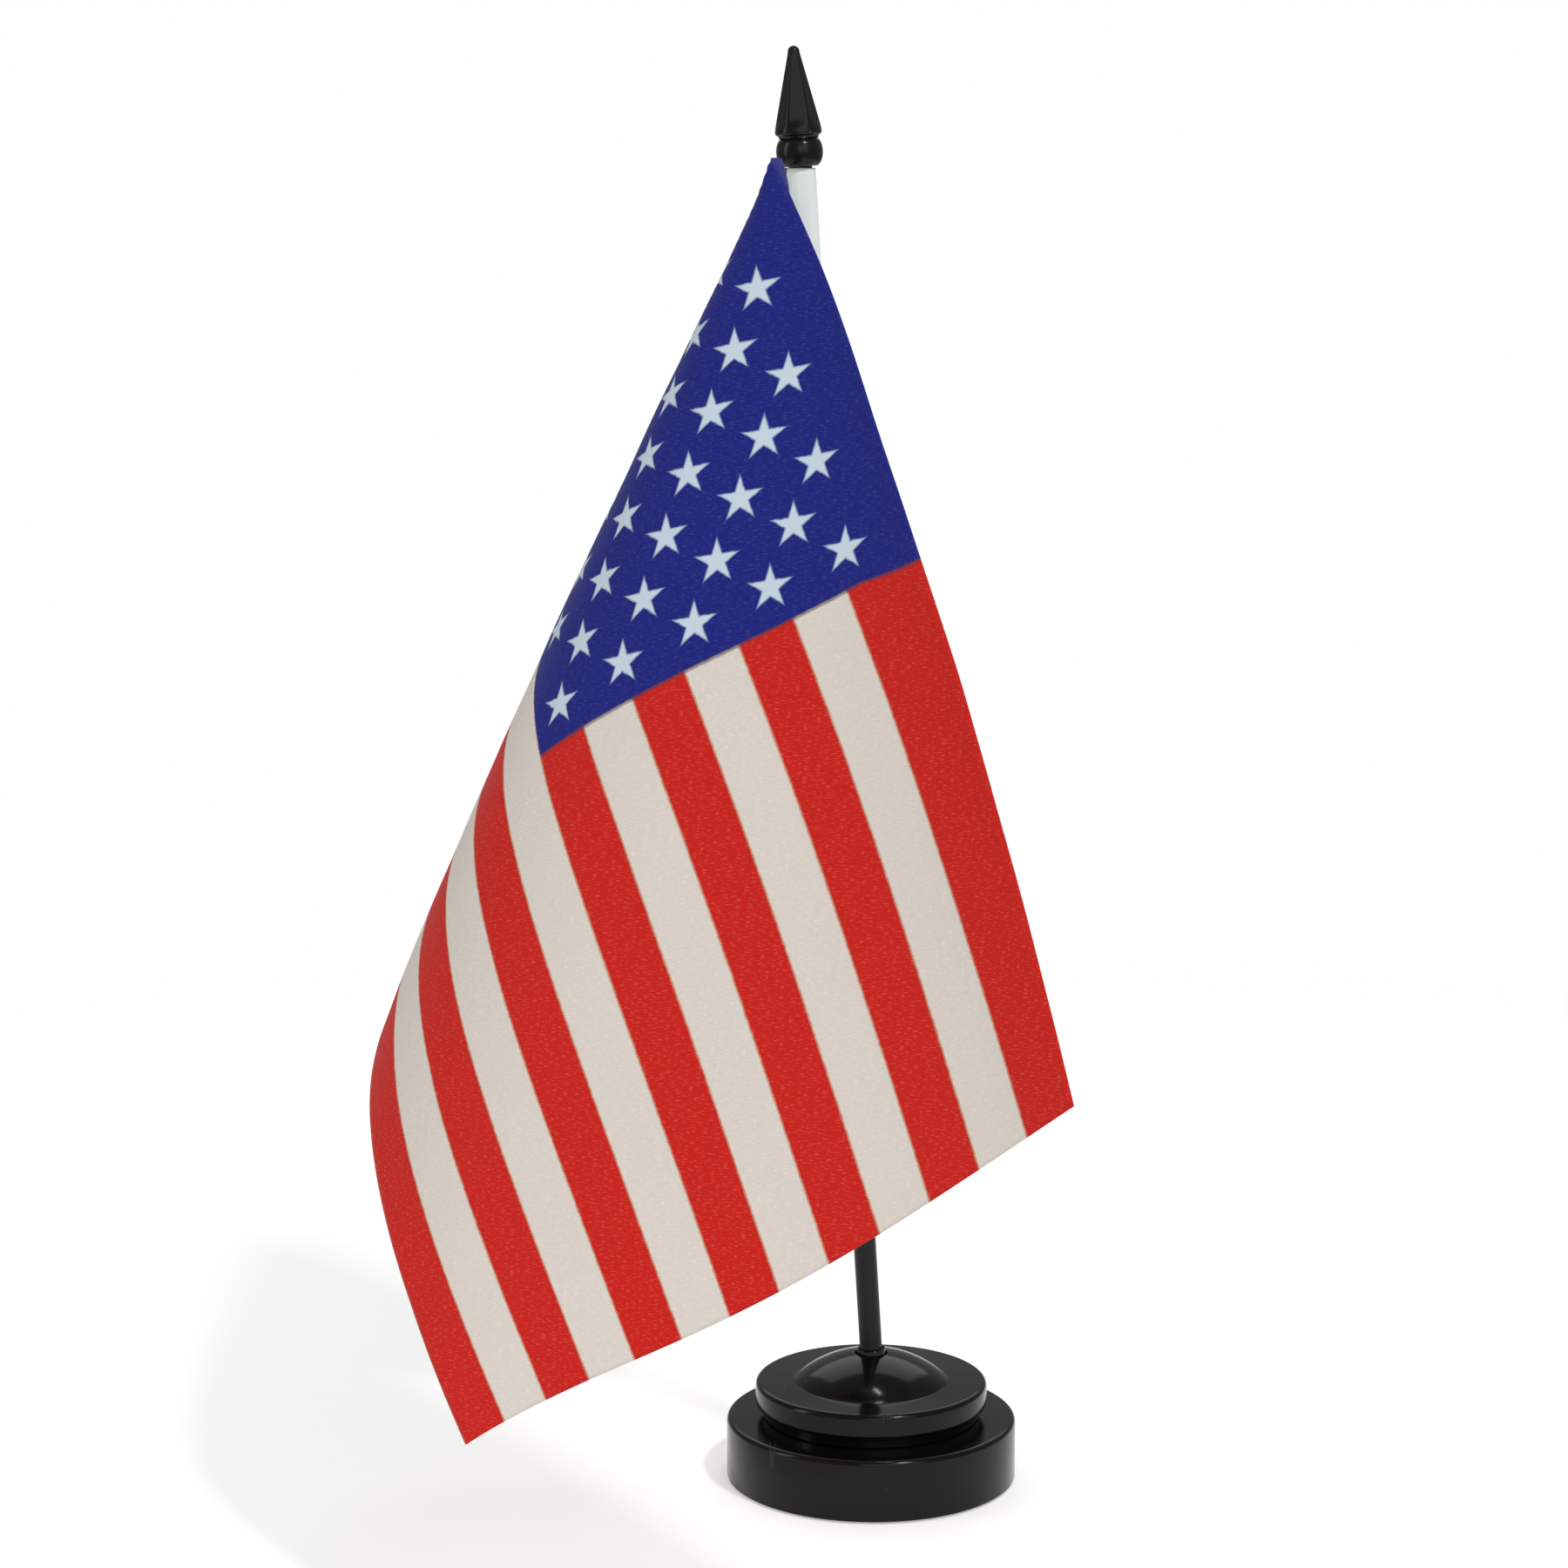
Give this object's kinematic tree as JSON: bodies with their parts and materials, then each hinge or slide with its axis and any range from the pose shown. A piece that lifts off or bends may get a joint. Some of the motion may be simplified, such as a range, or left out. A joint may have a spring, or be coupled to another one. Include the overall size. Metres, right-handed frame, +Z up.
{
  "type": "desk flag stand",
  "caption": "Small cloth flag sewn to a sleeve on a leaning rod with a spear finial, plugged into a weighted two-tier round base.",
  "frame": {"origin": "on the table, under the middle of the round base", "axes": "+Z up out of the base, the front of the flag faces -Y, and the pole leans towards -X"},
  "size_m": [0.1238, 0.1535, 0.2784],
  "materials": {
    "gloss_black_plastic": "glossy moulded",
    "satin_black_plastic": "satin extruded",
    "plain_steel": "plain, hidden",
    "black_felt": "felt",
    "printed_cloth": "printed satin polyester",
    "white_cloth": "plain woven polyester"
  },
  "bodies": {
    "base": {"base_foot": "gloss_black_plastic", "base_cap": "gloss_black_plastic", "pole_socket": "gloss_black_plastic", "ballast_ring": "plain_steel", "bottom_cover": "gloss_black_plastic", "foot_pad": "black_felt"},
    "pole": {"pole": "satin_black_plastic"},
    "flag": {"flag_sleeve": "white_cloth", "flag": "printed_cloth"},
    "finial": {"finial": "gloss_black_plastic"}
  },
  "joints": [
    {"name": "pole_pull", "type": "slide", "parent": "base", "child": "pole", "axis": [-0.061, 0, 0.9981], "range_m": [0, 0.02]},
    {"name": "flag_swivel", "type": "hinge", "parent": "pole", "child": "flag", "pos_m": [-0.00977, 0, 0.185], "axis": [-0.061, 0, 0.9981], "continuous": true},
    {"name": "finial_pull", "type": "slide", "parent": "pole", "child": "finial", "axis": [-0.061, 0, 0.9981], "range_m": [0, 0.012]}
  ]
}
